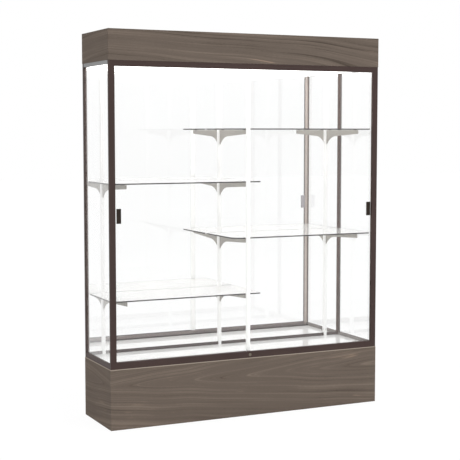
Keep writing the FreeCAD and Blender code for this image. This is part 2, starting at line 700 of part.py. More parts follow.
def standard(name, x):
    """A channel with a row of slots in its face for the bracket hooks."""
    body = padded(name, "XY_Plane", [(f"{x} + {u}", v) for u, v in (
        ("-standard_width / 2", "rear_rail_front"), ("-standard_width / 2", "standard_front"),
        ("standard_width / 2", "standard_front"), ("standard_width / 2", "rear_rail_front"),
        ("standard_width / 2 - standard_wall", "rear_rail_front"),
        ("standard_width / 2 - standard_wall", "standard_front + standard_wall"),
        ("standard_wall - standard_width / 2", "standard_front + standard_wall"),
        ("standard_wall - standard_width / 2", "rear_rail_front"))], "deck_top", "standard_top")
    slot_sketch = outline(body, "XZ_Plane", [
        (f"{x} - slot_width / 2", "slot_first - slot_height / 2"),
        (f"{x} + slot_width / 2", "slot_first - slot_height / 2"),
        (f"{x} + slot_width / 2", "slot_first + slot_height / 2"),
        (f"{x} - slot_width / 2", "slot_first + slot_height / 2")])
    pocket = body.newObject("PartDesign::Pocket", name + "_slot")
    pocket.Profile = slot_sketch
    pocket.Type = "ThroughAll"
    row = body.newObject("PartDesign::LinearPattern", name + "_row")
    row.Originals = [pocket]
    row.Direction = (slot_sketch, ["V_Axis"])
    row.setExpression("Occurrences", bind("floor(slot_run / slot_pitch) + 1"))
    row.setExpression("Length", bind("floor(slot_run / slot_pitch) * slot_pitch"))
    body.Tip = row
    return body


def bracket(name, x, top):
    """A tapered blade that curves down to its root, with two hooks behind the standard's face."""
    back = "standard_front"
    behind = f"{back} + standard_wall + slip_clearance"
    points = [(back, top), ("bracket_front", top),
              ("bracket_front", f"{top} - bracket_tip_height + bracket_tip_chamfer"),
              ("bracket_front + bracket_tip_chamfer", f"{top} - bracket_tip_height"),
              ("bracket_curve_start", f"{top} - bracket_blade_height"),
              (back, f"{top} - bracket_root_height")]
    # the curve leaves the blade level, so its centre is straight below its start
    arcs = {4: ("bracket_curve_start", f"{top} - bracket_blade_height - bracket_curve_radius")}
    for floor in (f"{top} - hook_top - 3 * slot_pitch", f"{top} - hook_top"):
        points += [(back, floor), (behind, floor), (behind, f"{floor} - hook_drop"),
                   (f"{behind} + hook_thickness", f"{floor} - hook_drop"),
                   (f"{behind} + hook_thickness", f"{floor} + hook_neck"),
                   (back, f"{floor} + hook_neck")]
    half = "bracket_thickness / 2"
    return padded(name, "YZ_Plane", points, f"{x} - {half}", f"{x} + {half}", arcs)


def shelf(name, side, bottom):
    """A glass shelf with its two front corners rounded, the left one more than the right one."""
    left, right = span(side, "-shelf_reach", "shelf_end")
    wide, narrow = "shelf_left_corner_radius", "shelf_right_corner_radius"
    points = [(left, f"shelf_front + {wide}"), (f"{left} + {wide}", "shelf_front"),
              (f"{right} - {narrow}", "shelf_front"), (right, f"shelf_front + {narrow}"),
              (right, "shelf_rear"), (left, "shelf_rear")]
    arcs = {0: (f"{left} + {wide}", f"shelf_front + {wide}"),
            2: (f"{right} - {narrow}", f"shelf_front + {narrow}")}
    return padded(name, "XY_Plane", points, bottom, f"{bottom} + shelf_thickness", arcs)


def shelving():
    keep("shelf_standards", group("shelf_standards", [
        standard(f"{name}_standard", x) for name, x in (
            ("left", "-standard_reach"), ("centre", "0"), ("right", "standard_reach"))]))
    brackets, pads = [], []
    for name in ("right_upper_shelf", "left_upper_shelf", "right_lower_shelf", "left_lower_shelf"):
        side = name.split("_")[0]
        slot = f"floor(slot_run * {name}_share / slot_pitch + 1 / 2)"
        top = f"slot_floor + {slot} * slot_pitch + hook_top"
        bottom = f"{top} + pad_height"
        for place_name, x in (("middle", "0"), ("outer", f"{sides[side]} * standard_reach")):
            brackets.append(bracket(f"{name}_{place_name}_bracket", x, top))
            pad_x = (f"{x} - bracket_thickness / 2", f"{x} + bracket_thickness / 2")
            for y in ("bracket_front + pad_length", "standard_front - 2 * pad_length"):
                pads.append(box(f"{name}_{place_name}_pad", pad_x, (y, f"{y} + pad_length"), (top, bottom)))
        keep(name, shelf(name, side, bottom))
    keep("shelf_brackets", group("shelf_brackets", brackets))
    keep("shelf_pads", group("shelf_pads", pads))


# Light

def light():
    channels, strips = [], []
    for end, middle in (("front", "-led_spacing / 2"), ("rear", "led_spacing / 2")):
        low, high = f"{middle} - led_width / 2", f"{middle} + led_width / 2"
        foot, roof = "canopy_top_bottom - led_height", "canopy_top_bottom - led_wall"
        channels.append(padded(f"{end}_led_channel", "YZ_Plane", [
            (low, "canopy_top_bottom"), (low, foot), (f"{low} + led_wall", foot),
            (f"{low} + led_wall", roof), (f"{high} - led_wall", roof), (f"{high} - led_wall", foot),
            (high, foot), (high, "canopy_top_bottom")], "-led_end", "led_end"))
        strips.append(box(f"{end}_led_strip", ("led_wall - led_end", "led_end - led_wall"),
                          (f"{middle} - led_strip_width / 2", f"{middle} + led_strip_width / 2"),
                          (f"{roof} - led_strip_thickness", roof)))
    keep("led_channels", group("led_channels", channels))
    keep("led_strips", group("led_strips", strips))
    x = ("gland_middle + 2 * switch_spacing", "gland_middle + 2 * switch_spacing + driver_length")
    y = ("canopy_back_front - driver_width - led_width", "canopy_back_front - led_width")
    body = padded("led_driver", "XY_Plane", [(x[0], y[0]), (x[1], y[0]), (x[1], y[1]), (x[0], y[1])],
                  "canopy_top_bottom - driver_height", "canopy_top_bottom")
    round_edges(body, body.Tip, "driver_round", upright)
    keep("led_driver", body)


def light_switch():
    """A snap-in housing in the canopy's back, and the rocker that tips on its two pins."""
    half_w, half_h = "switch_width / 2", "switch_height / 2"

    def block(name, extra, y):
        return box(name, (f"switch_middle - {half_w} - {extra}", f"switch_middle + {half_w} + {extra}"), y,
                   (f"fitting_level - {half_h} - {extra}", f"fitting_level + {half_h} + {extra}"))

    def pivot(name, radius, reach):
        pin = doc.addObject("Part::Cylinder", name)
        pin.setExpression("Radius", bind(radius))
        pin.setExpression("Height", bind(f"2 * ({reach})"))
        pin.Placement.Rotation = FreeCAD.Rotation(FreeCAD.Vector(0, 1, 0), 90)
        return place(pin, f"switch_middle - ({reach})", "rocker_pivot", "fitting_level")

    shell = doc.addObject("Part::Fuse", "switch_shell")
    shell.Base = block("switch_flange_plate", "switch_flange", ("canopy_back_face", "switch_face"))
    shell.Tool = block("switch_body", "0", ("switch_face - switch_depth", "canopy_back_face"))
    well = block("switch_well", "-switch_wall",
                 ("switch_face - switch_depth + switch_wall", "switch_face + overrun"))
    pin_hole = pivot("rocker_pin_hole", "rocker_pin_radius + running_clearance", half_w)
    keep("switch_housing", cut("switch_housing", shell, well, pin_hole))
    # drawn level about the pivot, and leaning to its off side at rest
    rise, face = "rocker_half_height", "rocker_pivot_depth"
    paddle = padded("rocker_paddle", "YZ_Plane", [
        ("-rocker_depth", f"-{rise} / 2"), (face, f"-{rise}"), (f"{face} + rocker_proud", f"-{rise}"),
        (f"{face} + rocker_proud / 2", "0"), (f"{face} + rocker_proud", rise), (face, rise),
        ("-rocker_depth", f"{rise} / 2")], "-rocker_half_width", "rocker_half_width")
    paddle.Placement.Rotation = FreeCAD.Rotation(FreeCAD.Vector(-1, 0, 0), sizes["rocker_tilt"])
    paddle.setExpression("Placement.Rotation.Angle", bind("rocker_tilt"))
    place(paddle, "switch_middle - rocker_half_width", "rocker_pivot", "fitting_level")
    rocker = doc.addObject("Part::Fuse", "switch_rocker")
    rocker.Base = paddle
    rocker.Tool = pivot("rocker_pin", "rocker_pin_radius",
                        "rocker_half_width + rocker_play + rocker_pin_hold")
    keep("switch_rocker", rocker)


def cord_gland():
    """A round bushing that the mains lead leaves the canopy through."""
    tail = "-board_thickness - gland_barrel_tail"
    tip = "gland_flange_thickness + gland_nose_length"
    keep("cord_gland", turned("cord_gland", [
        ("gland_bore_radius", tail), ("gland_barrel_radius", tail), ("gland_barrel_radius", "0"),
        ("gland_flange_radius", "0"), ("gland_flange_radius", "gland_flange_thickness"),
        ("gland_barrel_radius", "gland_flange_thickness"), ("gland_nose_radius", tip),
        ("gland_bore_radius", tip)], "gland_middle", "canopy_back_face", "fitting_level"))


wooden_boxes()
canopy_back()
posts()
side_rails()
rear_rails()
front_rails()
glass_ends()
back_and_floor()
door_tracks()
for door_side, door_middle in doors.items():
    door(door_side, door_middle)
meeting_seal()
lock()
shelving()
light()
light_switch()
cord_gland()
doc.recompute()

# every object is sound before anything is written
for thing in doc.Objects:
    faults = [state for state in thing.State if state in ("Invalid", "Error")]
    if faults:
        raise RuntimeError(f"{thing.Label} is {', '.join(faults)}")
for thing in sub_parts:
    if thing.Shape.isNull() or not thing.Shape.isValid() or not thing.Shape.Solids:
        raise RuntimeError(f"{thing.Label} has no sound solid")

os.makedirs("parts", exist_ok=True)
for thing in sub_parts:
    thing.Shape.exportStep(f"parts/{thing.Label}.step")
print(len(sub_parts), "sub-parts,", sum(len(thing.Shape.Solids) for thing in sub_parts), "solids")
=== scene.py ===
import json
import math

import bmesh
import bpy
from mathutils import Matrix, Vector


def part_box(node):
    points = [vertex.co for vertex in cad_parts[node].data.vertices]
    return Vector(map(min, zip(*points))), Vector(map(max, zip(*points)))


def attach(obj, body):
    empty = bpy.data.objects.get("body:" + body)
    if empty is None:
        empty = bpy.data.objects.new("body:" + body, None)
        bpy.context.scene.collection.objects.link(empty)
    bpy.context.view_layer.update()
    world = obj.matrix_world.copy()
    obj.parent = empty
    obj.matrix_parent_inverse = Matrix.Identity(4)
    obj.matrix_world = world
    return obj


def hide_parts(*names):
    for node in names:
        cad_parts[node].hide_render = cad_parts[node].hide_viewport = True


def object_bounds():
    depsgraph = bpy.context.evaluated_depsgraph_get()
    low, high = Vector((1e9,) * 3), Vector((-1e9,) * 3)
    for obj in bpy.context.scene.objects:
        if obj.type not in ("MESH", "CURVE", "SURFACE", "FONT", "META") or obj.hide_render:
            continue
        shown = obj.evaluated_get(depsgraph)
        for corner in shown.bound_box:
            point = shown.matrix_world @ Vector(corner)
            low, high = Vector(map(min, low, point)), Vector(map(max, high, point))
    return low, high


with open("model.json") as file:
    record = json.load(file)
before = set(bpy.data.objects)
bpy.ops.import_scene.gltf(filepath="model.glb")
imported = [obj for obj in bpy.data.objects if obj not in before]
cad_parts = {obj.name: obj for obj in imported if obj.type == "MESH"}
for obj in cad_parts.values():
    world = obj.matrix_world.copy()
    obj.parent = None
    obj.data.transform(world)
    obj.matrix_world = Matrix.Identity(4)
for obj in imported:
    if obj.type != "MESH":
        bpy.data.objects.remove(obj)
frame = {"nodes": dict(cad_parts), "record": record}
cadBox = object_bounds()
scene = bpy.context.scene
print("frame loaded:", len(frame["nodes"]), "nodes")


# Node helpers: a value that is a socket is linked, anything else is set on the input.
def fill(tree, node, values):
    for name, value in values.items():
        if isinstance(value, bpy.types.NodeSocket):
            tree.links.new(value, node.inputs[name])
        else:
            node.inputs[name].default_value = value


def put(tree, kind, values=None, **settings):
    node = tree.nodes.new(kind)
    for name, value in settings.items():
        setattr(node, name, value)
    fill(tree, node, values or {})
    return node


def startMaterial(name):
    material = bpy.data.materials.new(name)
    material.use_nodes = True
    tree = material.node_tree
    shader = tree.nodes["Principled BSDF"]
    spot = put(tree, "ShaderNodeTexCoord").outputs["Object"]
    return material, tree, shader, spot


def calc(tree, operation, a, b=0.0):
    return put(tree, "ShaderNodeMath", {0: a, 1: b}, operation=operation).outputs[0]


def add(tree, a, b):
    return calc(tree, "ADD", a, b)


def minus(tree, a, b):
    return calc(tree, "SUBTRACT", a, b)


def times(tree, a, b):
    return calc(tree, "MULTIPLY", a, b)


def joinAxes(tree, **axes):
    return put(tree, "ShaderNodeCombineXYZ", axes).outputs[0]


noiseMiddle = 0.5


def noise(tree, spot, stretch, scale, detail, roughness=0.55):
    mapped = put(tree, "ShaderNodeMapping", {"Vector": spot, "Scale": stretch}).outputs[0]
    values = {"Vector": mapped, "Scale": scale, "Detail": detail, "Roughness": roughness}
    return put(tree, "ShaderNodeTexNoise", values).outputs["Fac"]


def evenNoise(tree, spot, scale, detail):
    return noise(tree, spot, (1.0, 1.0, 1.0), scale, detail)


def ramp(tree, factor, stops):
    node = put(tree, "ShaderNodeValToRGB", {"Fac": factor})
    while len(node.color_ramp.elements) < len(stops):
        node.color_ramp.elements.new(0.5)
    for element, (place, color) in zip(node.color_ramp.elements, stops):
        element.position = place
        element.color = (*color, 1.0)
    return node.outputs["Color"]


def twoTone(tree, factor, low, high, stops=(0.3, 0.7)):
    return ramp(tree, factor, list(zip(stops, (low, high))))


def remap(tree, value, low, high):
    return put(tree, "ShaderNodeMapRange", {"Value": value, "To Min": low, "To Max": high}).outputs[0]


def bump(tree, height, strength, distance):
    values = {"Height": height, "Strength": strength, "Distance": distance}
    return put(tree, "ShaderNodeBump", values).outputs[0]


farBelow, farAbove = -1.0, 9.0  # open ends of a band


def inBand(tree, value, low, high, soft=0.0005):
    rise = put(tree, "ShaderNodeMapRange", {"Value": value, "From Min": low - soft, "From Max": low})
    fall = put(tree, "ShaderNodeMapRange", {"Value": value, "From Min": high + soft, "From Max": high})
    return times(tree, rise.outputs[0], fall.outputs[0])


def mixColor(tree, factor, under, over):
    values = {"Factor": factor, 6: under, 7: (*over, 1.0)}  # 6 and 7 are the two color inputs
    return put(tree, "ShaderNodeMix", values, data_type="RGBA").outputs[2]


def mixShader(tree, factor, first, second):
    return put(tree, "ShaderNodeMixShader", {"Fac": factor, 1: first, 2: second}).outputs[0]


# Wood laminate: growth rings of a log that the panel cuts lengthwise, running level round the corner.
# Pairs are for the plinth and the canopy, lengths are in metres.
woodLook = {
    "dark": (0.080, 0.063, 0.050),
    "mid": (0.149, 0.119, 0.098),
    "pale": (0.212, 0.169, 0.137),
    "toneStops": (0.37, 0.47, 0.53, 0.63),  # dark, mid, mid, pale
    "tan": (0.30, 0.22, 0.165),
    "tanShare": 0.8,
    "tanFrom": (0.70, 0.62),  # least value of the streak noise and of the patch noise
    "tanSoft": 0.06,
    "edgeHighlight": (0.40, 0.34, 0.28),
    "edgeHighlightAt": (0.3106, 0.3144),  # heights of the painted highlight along the top edge of the plinth
    "core": (0.085, 0.050, 0.028),
    "coreWidth": 0.0016,
    "canopyFrom": 1.0,  # height that is surely between the two
    "heart": (0.222, 1.80),  # height of the middle of the log
    "fall": (-0.09, 0.08),  # how fast the cut leaves the middle, towards the right
    "offset": (0.06, 0.15),  # how far from the middle the cut is
    "wander": 0.05,
    "sway": 0.04,
    "tip": 0.012,  # roundness of the points in the plinth's grain
    "contrast": (0.95, 1.2),
    "level": (0.524, 0.5),
    "rings": 0.60,
    "fibres": 0.28,
    "patches": 0.12,
    "flecks": 0.22,  # short fine pores that show from near by
    "roughness": (0.44, 0.58),
    "bump": (0.08, 0.0004),
    "gloss": 0.01,
}
woodNoise = {  # stretch, scale, detail and roughness
    "wander": ((1.0, 1.0, 3.0), 1.3, 1.0, 0.4),
    "sway": ((1.0, 1.0, 1.0), 2.2, 1.0, 0.4),
    "rings": ((1.0, 0.006, 1.0), 62.0, 3.0, 0.66),
    "fibres": ((1.0, 0.005, 1.0), 260.0, 2.0, 0.6),
    "pores": ((55.0, 1.0, 1300.0), 1.0, 2.0, 0.6),
    "patches": ((1.0, 1.0, 3.0), 3.2, 2.0, 0.5),
    "streaks": ((1.0, 0.03, 1.0), 120.0, 1.0, 0.5),
}


def byPlace(tree, canopy, pair):
    low, high = pair
    return add(tree, times(tree, canopy, high - low), low)


def ringDistance(tree, along, height, canopy, plank):
    line = joinAxes(tree, X=along, Y=canopy)
    wander = minus(tree, noise(tree, plank, *woodNoise["wander"]), noiseMiddle)
    rise = minus(tree, height, byPlace(tree, canopy, woodLook["heart"]))
    rise = add(tree, rise, times(tree, wander, woodLook["wander"]))
    # the canopy's lines fall to the right, the plinth's open out from points on the left
    sway = minus(tree, noise(tree, line, *woodNoise["sway"]), noiseMiddle)
    fall = times(tree, along, byPlace(tree, canopy, woodLook["fall"]))
    slope = add(tree, fall, byPlace(tree, canopy, woodLook["offset"]))
    cut = add(tree, times(tree, sway, woodLook["sway"]), slope)
    # round rings in the canopy, and rings drawn out to points in the plinth
    plinth = minus(tree, 1.0, canopy)
    bend = add(tree, times(tree, canopy, cut), times(tree, plinth, woodLook["tip"]))
    across = add(tree, times(tree, bend, bend), times(tree, rise, rise))
    return add(tree, calc(tree, "SQRT", across), times(tree, plinth, cut))


def makeWood():
    material, tree, shader, spot = startMaterial("woodLaminate")
    axes = put(tree, "ShaderNodeSeparateXYZ", {"Vector": spot}).outputs
    height = axes["Z"]
    along = add(tree, axes["X"], axes["Y"])
    canopy = calc(tree, "GREATER_THAN", height, woodLook["canopyFrom"])
    plank = joinAxes(tree, X=along, Z=height)
    grain = joinAxes(tree, X=ringDistance(tree, along, height, canopy, plank), Y=along, Z=canopy)
    rings = noise(tree, grain, *woodNoise["rings"])
    fibres = noise(tree, grain, *woodNoise["fibres"])
    pores = noise(tree, plank, *woodNoise["pores"])
    patches = noise(tree, plank, *woodNoise["patches"])
    tone = add(tree, times(tree, rings, woodLook["rings"]), times(tree, fibres, woodLook["fibres"]))
    tone = add(tree, tone, times(tree, patches, woodLook["patches"]))
    tone = add(tree, tone, times(tree, minus(tree, pores, noiseMiddle), woodLook["flecks"]))
    # the canopy's grain is bolder than the plinth's
    tone = times(tree, minus(tree, tone, noiseMiddle), byPlace(tree, canopy, woodLook["contrast"]))
    tone = add(tree, tone, byPlace(tree, canopy, woodLook["level"]))
    tones = [woodLook[name] for name in ("dark", "mid", "mid", "pale")]
    color = ramp(tree, tone, list(zip(woodLook["toneStops"], tones)))
    # a few short tan streaks, where both noises are high
    fromStreak, fromPatch = woodLook["tanFrom"]
    streaks = noise(tree, grain, *woodNoise["streaks"])
    few = times(tree, inBand(tree, streaks, fromStreak, farAbove, woodLook["tanSoft"]),
                inBand(tree, patches, fromPatch, farAbove, woodLook["tanSoft"]))
    color = mixColor(tree, times(tree, few, woodLook["tanShare"]), color, woodLook["tan"])
    # painted highlight along the top edge of the plinth, where its ledge catches the light, and the dark core
    # line of the laminate on outer edges
    color = mixColor(tree, inBand(tree, height, *woodLook["edgeHighlightAt"]), color, woodLook["edgeHighlight"])
    bottom = inBand(tree, height, farBelow, woodLook["coreWidth"])
    top = inBand(tree, height, cadBox[1].z - woodLook["coreWidth"], farAbove)
    color = mixColor(tree, calc(tree, "MAXIMUM", bottom, top), color, woodLook["core"])
    fill(tree, shader, {
        "Base Color": color,
        "Roughness": remap(tree, pores, *woodLook["roughness"]),
        "Normal": bump(tree, add(tree, pores, fibres), *woodLook["bump"]),
        "Specular IOR Level": woodLook["gloss"],
    })
    return material


# Raw chipboard on the back and the top.
boardLook = {
    "fine": (0.33, 0.245, 0.165),
    "mid": (0.42, 0.325, 0.225),
    "pale": (0.52, 0.42, 0.305),
    "chips": (420.0, 1100.0),  # chips per metre, coarse and fine
    "shares": (0.45, 0.35),  # of the coarse and the fine chips in the tone
    "cloud": 0.20,
    "cloudScale": 9.0,
    "stops": (0.1, 0.5, 0.9),
    "tear": 1.2,  # how ragged a chip's edge is, in chips
    "tearScale": 0.8,
    "roughness": (0.72, 0.88),
    "bump": (0.2, 0.0004),
}


def tornChips(tree, spot, scale):
    values = {"Vector": spot, "Scale": scale * boardLook["tearScale"], "Detail": 2.0}
    ragged = put(tree, "ShaderNodeTexNoise", values).outputs["Color"]
    reach = (boardLook["tear"] / scale,) * 3
    shift = put(tree, "ShaderNodeVectorMath", {0: ragged, 1: reach}, operation="MULTIPLY").outputs[0]
    torn = put(tree, "ShaderNodeVectorMath", {0: spot, 1: shift}, operation="ADD").outputs[0]
    chips = put(tree, "ShaderNodeTexVoronoi", {"Vector": torn, "Scale": scale}).outputs["Color"]
    return put(tree, "ShaderNodeSeparateColor", {"Color": chips}).outputs[0]


def makeBoard():
    material, tree, shader, spot = startMaterial("rawBoard")
    coarse, fine = [times(tree, tornChips(tree, spot, scale), share)
                    for scale, share in zip(boardLook["chips"], boardLook["shares"])]
    shade = add(tree, coarse, fine)
    slow = evenNoise(tree, spot, boardLook["cloudScale"], 2.0)
    tone = add(tree, shade, times(tree, slow, boardLook["cloud"]))
    tones = [boardLook[name] for name in ("fine", "mid", "pale")]
    fill(tree, shader, {
        "Base Color": ramp(tree, tone, list(zip(boardLook["stops"], tones))),
        "Roughness": remap(tree, shade, *boardLook["roughness"]),
        "Normal": bump(tree, shade, *boardLook["bump"]),
    })
    return material


# Metals, extruded and anodised or plated: very fine lines, and a slow change between two tones.
satin = (0.36, 0.48)
metalLooks = {
    "bronzeAnodised": {"low": (0.061, 0.041, 0.0375), "high": (0.071, 0.048, 0.0435),
                       "metallic": 0.1, "roughness": satin, "gloss": 0.08},
    "naturalAluminium": {"low": (0.20, 0.20, 0.20), "high": (0.25, 0.25, 0.252),
                         "metallic": 0.5, "roughness": (0.34, 0.46), "gloss": 0.5},
    "lockNickel": {"low": (0.16, 0.138, 0.105), "high": (0.21, 0.183, 0.142),
                   "metallic": 0.7, "roughness": (0.30, 0.40), "gloss": 0.5},
    # painted light and shade: a copy of the bronze for the rear posts' faces inside the case
    "bronzeInsidePaintedLight": {"low": (0.078, 0.042, 0.031), "high": (0.090, 0.049, 0.037),
                     "metallic": 0.1, "roughness": satin, "gloss": 0.08},
    "trackBronze": {"low": (0.090, 0.066, 0.061), "high": (0.110, 0.082, 0.076),
                    "metallic": 0.2, "roughness": satin, "gloss": 0.3},
    "shoeBronze": {"low": (0.235, 0.190, 0.180), "high": (0.275, 0.225, 0.213),
                   "metallic": 0.2, "roughness": satin, "gloss": 0.3},
}


metalGrain = {
    "slow": 3.5,
    "fine": 900.0,
    "stretch": (0.3, 1.0, 0.3),
    "shares": (0.7, 0.3),  # of the slow and the fine in the tone
    "stops": (0.35, 0.65),
    "bump": (0.06, 0.0002),
}


def makeMetal(name):
    look = metalLooks[name]
    material, tree, shader, spot = startMaterial(name)
    slow = evenNoise(tree, spot, metalGrain["slow"], 2.0)
    fine = noise(tree, spot, metalGrain["stretch"], metalGrain["fine"], 2.0)
    ofSlow, ofFine = metalGrain["shares"]
    tone = add(tree, times(tree, slow, ofSlow), times(tree, fine, ofFine))
    fill(tree, shader, {
        "Base Color": twoTone(tree, tone, look["low"], look["high"], metalGrain["stops"]),
        "Metallic": look["metallic"],
        "Specular IOR Level": look["gloss"],
        "Roughness": remap(tree, fine, *look["roughness"]),
        "Normal": bump(tree, fine, *metalGrain["bump"]),
    })
    return material


# Glass: clear in the doors and ends, a little milky in the shelves.
glassLooks = {
    "clearGlass": {"color": (0.997, 0.999, 0.998), "roughness": (0.0, 0.006), "clear": 0.99, "gloss": 0.2},
    "shelfGlass": {"color": (0.99, 0.987, 0.98), "roughness": (0.10, 0.16), "clear": 0.6, "gloss": 0.5},
}
glassIor = 1.52
smudgeNoise = (6.0, 3.0)  # scale and detail


def makeGlass(name):
    look = glassLooks[name]
    material, tree, shader, spot = startMaterial(name)
    smudge = evenNoise(tree, spot, *smudgeNoise)
    fill(tree, shader, {
        "Base Color": (*look["color"], 1.0),
        "Transmission Weight": look["clear"],
        "IOR": glassIor,
        "Specular IOR Level": look["gloss"],
        "Roughness": remap(tree, smudge, *look["roughness"]),
    })
    # light from the lamps and the surroundings goes straight through
    path = put(tree, "ShaderNodeLightPath").outputs
    straight = calc(tree, "MAXIMUM", path["Is Shadow Ray"], path["Is Diffuse Ray"])
    clear = put(tree, "ShaderNodeBsdfTransparent", {"Color": (*look["color"], 1.0)}).outputs[0]
    mixed = mixShader(tree, straight, shader.outputs[0], clear)
    tree.links.new(mixed, tree.nodes["Material Output"].inputs["Surface"])
    return material


edgeLook = {
    "low": (0.006, 0.004, 0.002),
    "high": (0.013, 0.009, 0.005),
    "layers": ((1.0, 1.0, 60.0), 4.0, 2.0),  # stretch, scale and detail
    "roughness": 0.35,
    "gloss": 0.03,
}


def makeGlassEdge():
    # polished edge: dark, as thick glass is when it is looked through lengthwise
    material, tree, shader, spot = startMaterial("glassEdge")
    depth = noise(tree, spot, *edgeLook["layers"])
    fill(tree, shader, {
        "Base Color": twoTone(tree, depth, edgeLook["low"], edgeLook["high"]),
        "Roughness": edgeLook["roughness"],
        "Specular IOR Level": edgeLook["gloss"],
    })
    return material


mirrorLook = {
    "low": (0.985, 0.985, 0.985),
    "high": (0.995, 0.995, 0.995),
    "haze": (2.0, 2.0),  # scale and detail
    "mirroredGlow": 1.0,
}


def makeMirror():
    material, tree, shader, spot = startMaterial("mirrorSilver")
    haze = evenNoise(tree, spot, *mirrorLook["haze"])
    color = twoTone(tree, haze, mirrorLook["low"], mirrorLook["high"])
    fill(tree, shader, {"Base Color": color, "Metallic": 1.0, "Roughness": 0.0})
    # painted light: scattered rays see the mirror as a white glow that stands in for the studio it mirrors,
    # so the inside is lit without fireflies
    mirroredGlow = put(tree, "ShaderNodeBsdfPrincipled", {
        "Base Color": (0.0, 0.0, 0.0, 1.0),
        "Roughness": 1.0,
        "Specular IOR Level": 0.0,
        "Emission Color": (1.0, 1.0, 1.0, 1.0),
        "Emission Strength": mirrorLook["mirroredGlow"],
    }).outputs[0]
    path = put(tree, "ShaderNodeLightPath").outputs
    mixed = mixShader(tree, path["Is Diffuse Ray"], shader.outputs[0], mirroredGlow)
    tree.links.new(mixed, tree.nodes["Material Output"].inputs["Surface"])
    return material


# Paint, moulded plastic, rubber and tape: a slow cloud of tone and a fine orange peel.
paintUsual = {"peel": 420.0, "bump": 0.08, "gloss": 0.5}
paintLooks = {
    "deckLaminate": {"color": (0.93, 0.93, 0.925), "roughness": 0.012,
                     "peel": 300.0, "bump": 0.0, "gloss": 1.0},
    "standardPaint": {"color": (0.955, 0.95, 0.942), "roughness": 0.35},
    "bracketPaint": {"color": (0.325, 0.302, 0.27), "roughness": 0.45},
    "pullPlastic": {"color": (0.030, 0.020, 0.014), "roughness": 0.42, "gloss": 0.2},
    "rollerNylon": {"color": (0.72, 0.71, 0.66), "roughness": 0.4},
    "gasketRubber": {"color": (0.17, 0.138, 0.125), "roughness": 0.7},
    "driverCase": {"color": (0.78, 0.78, 0.77), "roughness": 0.4},
    "fittingPlastic": {"color": (0.022, 0.022, 0.023), "roughness": 0.45},
    "glassSeam": {"color": (0.90, 0.92, 0.91), "roughness": 0.5},
    # painted light: paler copies for the backs of the front posts, the inner faces of the side rails and the
    # backs of the pulls, which show lit in the mirror
    "postBackPaintedLight": {"color": (0.47, 0.375, 0.33), "roughness": 0.6, "gloss": 0.2},
    "railInnerPaintedLight": {"color": (0.24, 0.21, 0.195), "roughness": 0.5},
    "pullBackPaintedLight": {"color": (0.40, 0.37, 0.40), "roughness": 0.7, "gloss": 0.2},
    # painted light: the upper track is white so that it reads as washed out by the diffuser's light
    "upperTrackPaintedLight": {"color": (0.93, 0.93, 0.925), "roughness": 0.4},
}


paintGrain = {
    "slow": 5.0,
    "tones": (0.95, 1.04),  # times the color
    "roughness": (0.85, 1.15),  # times the roughness
    "relief": 0.0002,
}


def makePaint(name):
    look = {**paintUsual, **paintLooks[name]}
    material, tree, shader, spot = startMaterial(name)
    slow = evenNoise(tree, spot, paintGrain["slow"], 2.0)
    peel = evenNoise(tree, spot, look["peel"], 2.0)
    low, high = [tuple(min(1.0, tone * part) for part in look["color"]) for tone in paintGrain["tones"]]
    smooth, rough = [share * look["roughness"] for share in paintGrain["roughness"]]
    fill(tree, shader, {
        "Base Color": twoTone(tree, slow, low, high),
        "Roughness": remap(tree, peel, smooth, rough),
        "Specular IOR Level": look["gloss"],
        "Normal": bump(tree, peel, look["bump"], paintGrain["relief"]),
    })
    return material


# White plastic that light comes from, and a painted glow on the seal and on the header wall behind the doors:
# strength of each.
litLooks = {"diffuserAcrylic": 2.4, "ledTape": 2.4, "headerPaintedGlow": 0.7, "sealPaintedGlow": 0.12}
litSurface = {
    "low": (0.90, 0.90, 0.89),
    "high": (0.95, 0.95, 0.94),
    "stops": (0.2, 0.8),
    "cloud": (1.5, 1.0),  # scale and detail
    "roughness": 0.5,
    "light": (1.0, 0.985, 0.96),
}


def makeLit(name):
    material, tree, shader, spot = startMaterial(name)
    cloud = evenNoise(tree, spot, *litSurface["cloud"])
    fill(tree, shader, {
        "Base Color": twoTone(tree, cloud, litSurface["low"], litSurface["high"], litSurface["stops"]),
        "Roughness": litSurface["roughness"],
        "Emission Color": (*litSurface["light"], 1.0),
        "Emission Strength": litLooks[name],
    })
    return material


finishes = {
    "wood_laminate": makeWood(),
    "plain_board": makeBoard(),
    "bronze": makeMetal("bronzeAnodised"),
    "aluminium": makeMetal("naturalAluminium"),
    "clear_glass": makeGlass("clearGlass"),
    "mirror": makeMirror(),
    "white_laminate": makePaint("deckLaminate"),
    "white_paint": makePaint("standardPaint"),
    "grey_paint": makePaint("bracketPaint"),
    # painted glow: the seal shines a little so that its shaded back reads white
    "seal_white": makeLit("sealPaintedGlow"),
    "pull_black": makePaint("pullPlastic"),
    "nylon": makePaint("rollerNylon"),
    "rubber": makePaint("gasketRubber"),
    "lock_metal": makeMetal("lockNickel"),
    "diffuser": makeLit("diffuserAcrylic"),
    "led": makeLit("ledTape"),
    "white_plastic": makePaint("driverCase"),
    "black_plastic": makePaint("fittingPlastic"),
}
glassEdge = makeGlassEdge()
glassSeam = makePaint("glassSeam")
shelfGlass = makeGlass("shelfGlass")
headerPaintedGlow = makeLit("headerPaintedGlow")
paintedLightFinishes = {name: makePaint(name) for name in ("postBackPaintedLight", "railInnerPaintedLight", "pullBackPaintedLight")}
paintedLightFinishes["bronzeInsidePaintedLight"] = makeMetal("bronzeInsidePaintedLight")
nodeSlot = {entry["node"]: entry["material_slot"] for entry in frame["record"]["subparts"]}
nodeBody = {node: body for body, nodes in frame["record"]["behaviour"]["bodies"].items() for node in nodes}
for node, piece in frame["nodes"].items():
    piece.data.materials.clear()
    piece.data.materials.append(finishes[nodeSlot[node]])
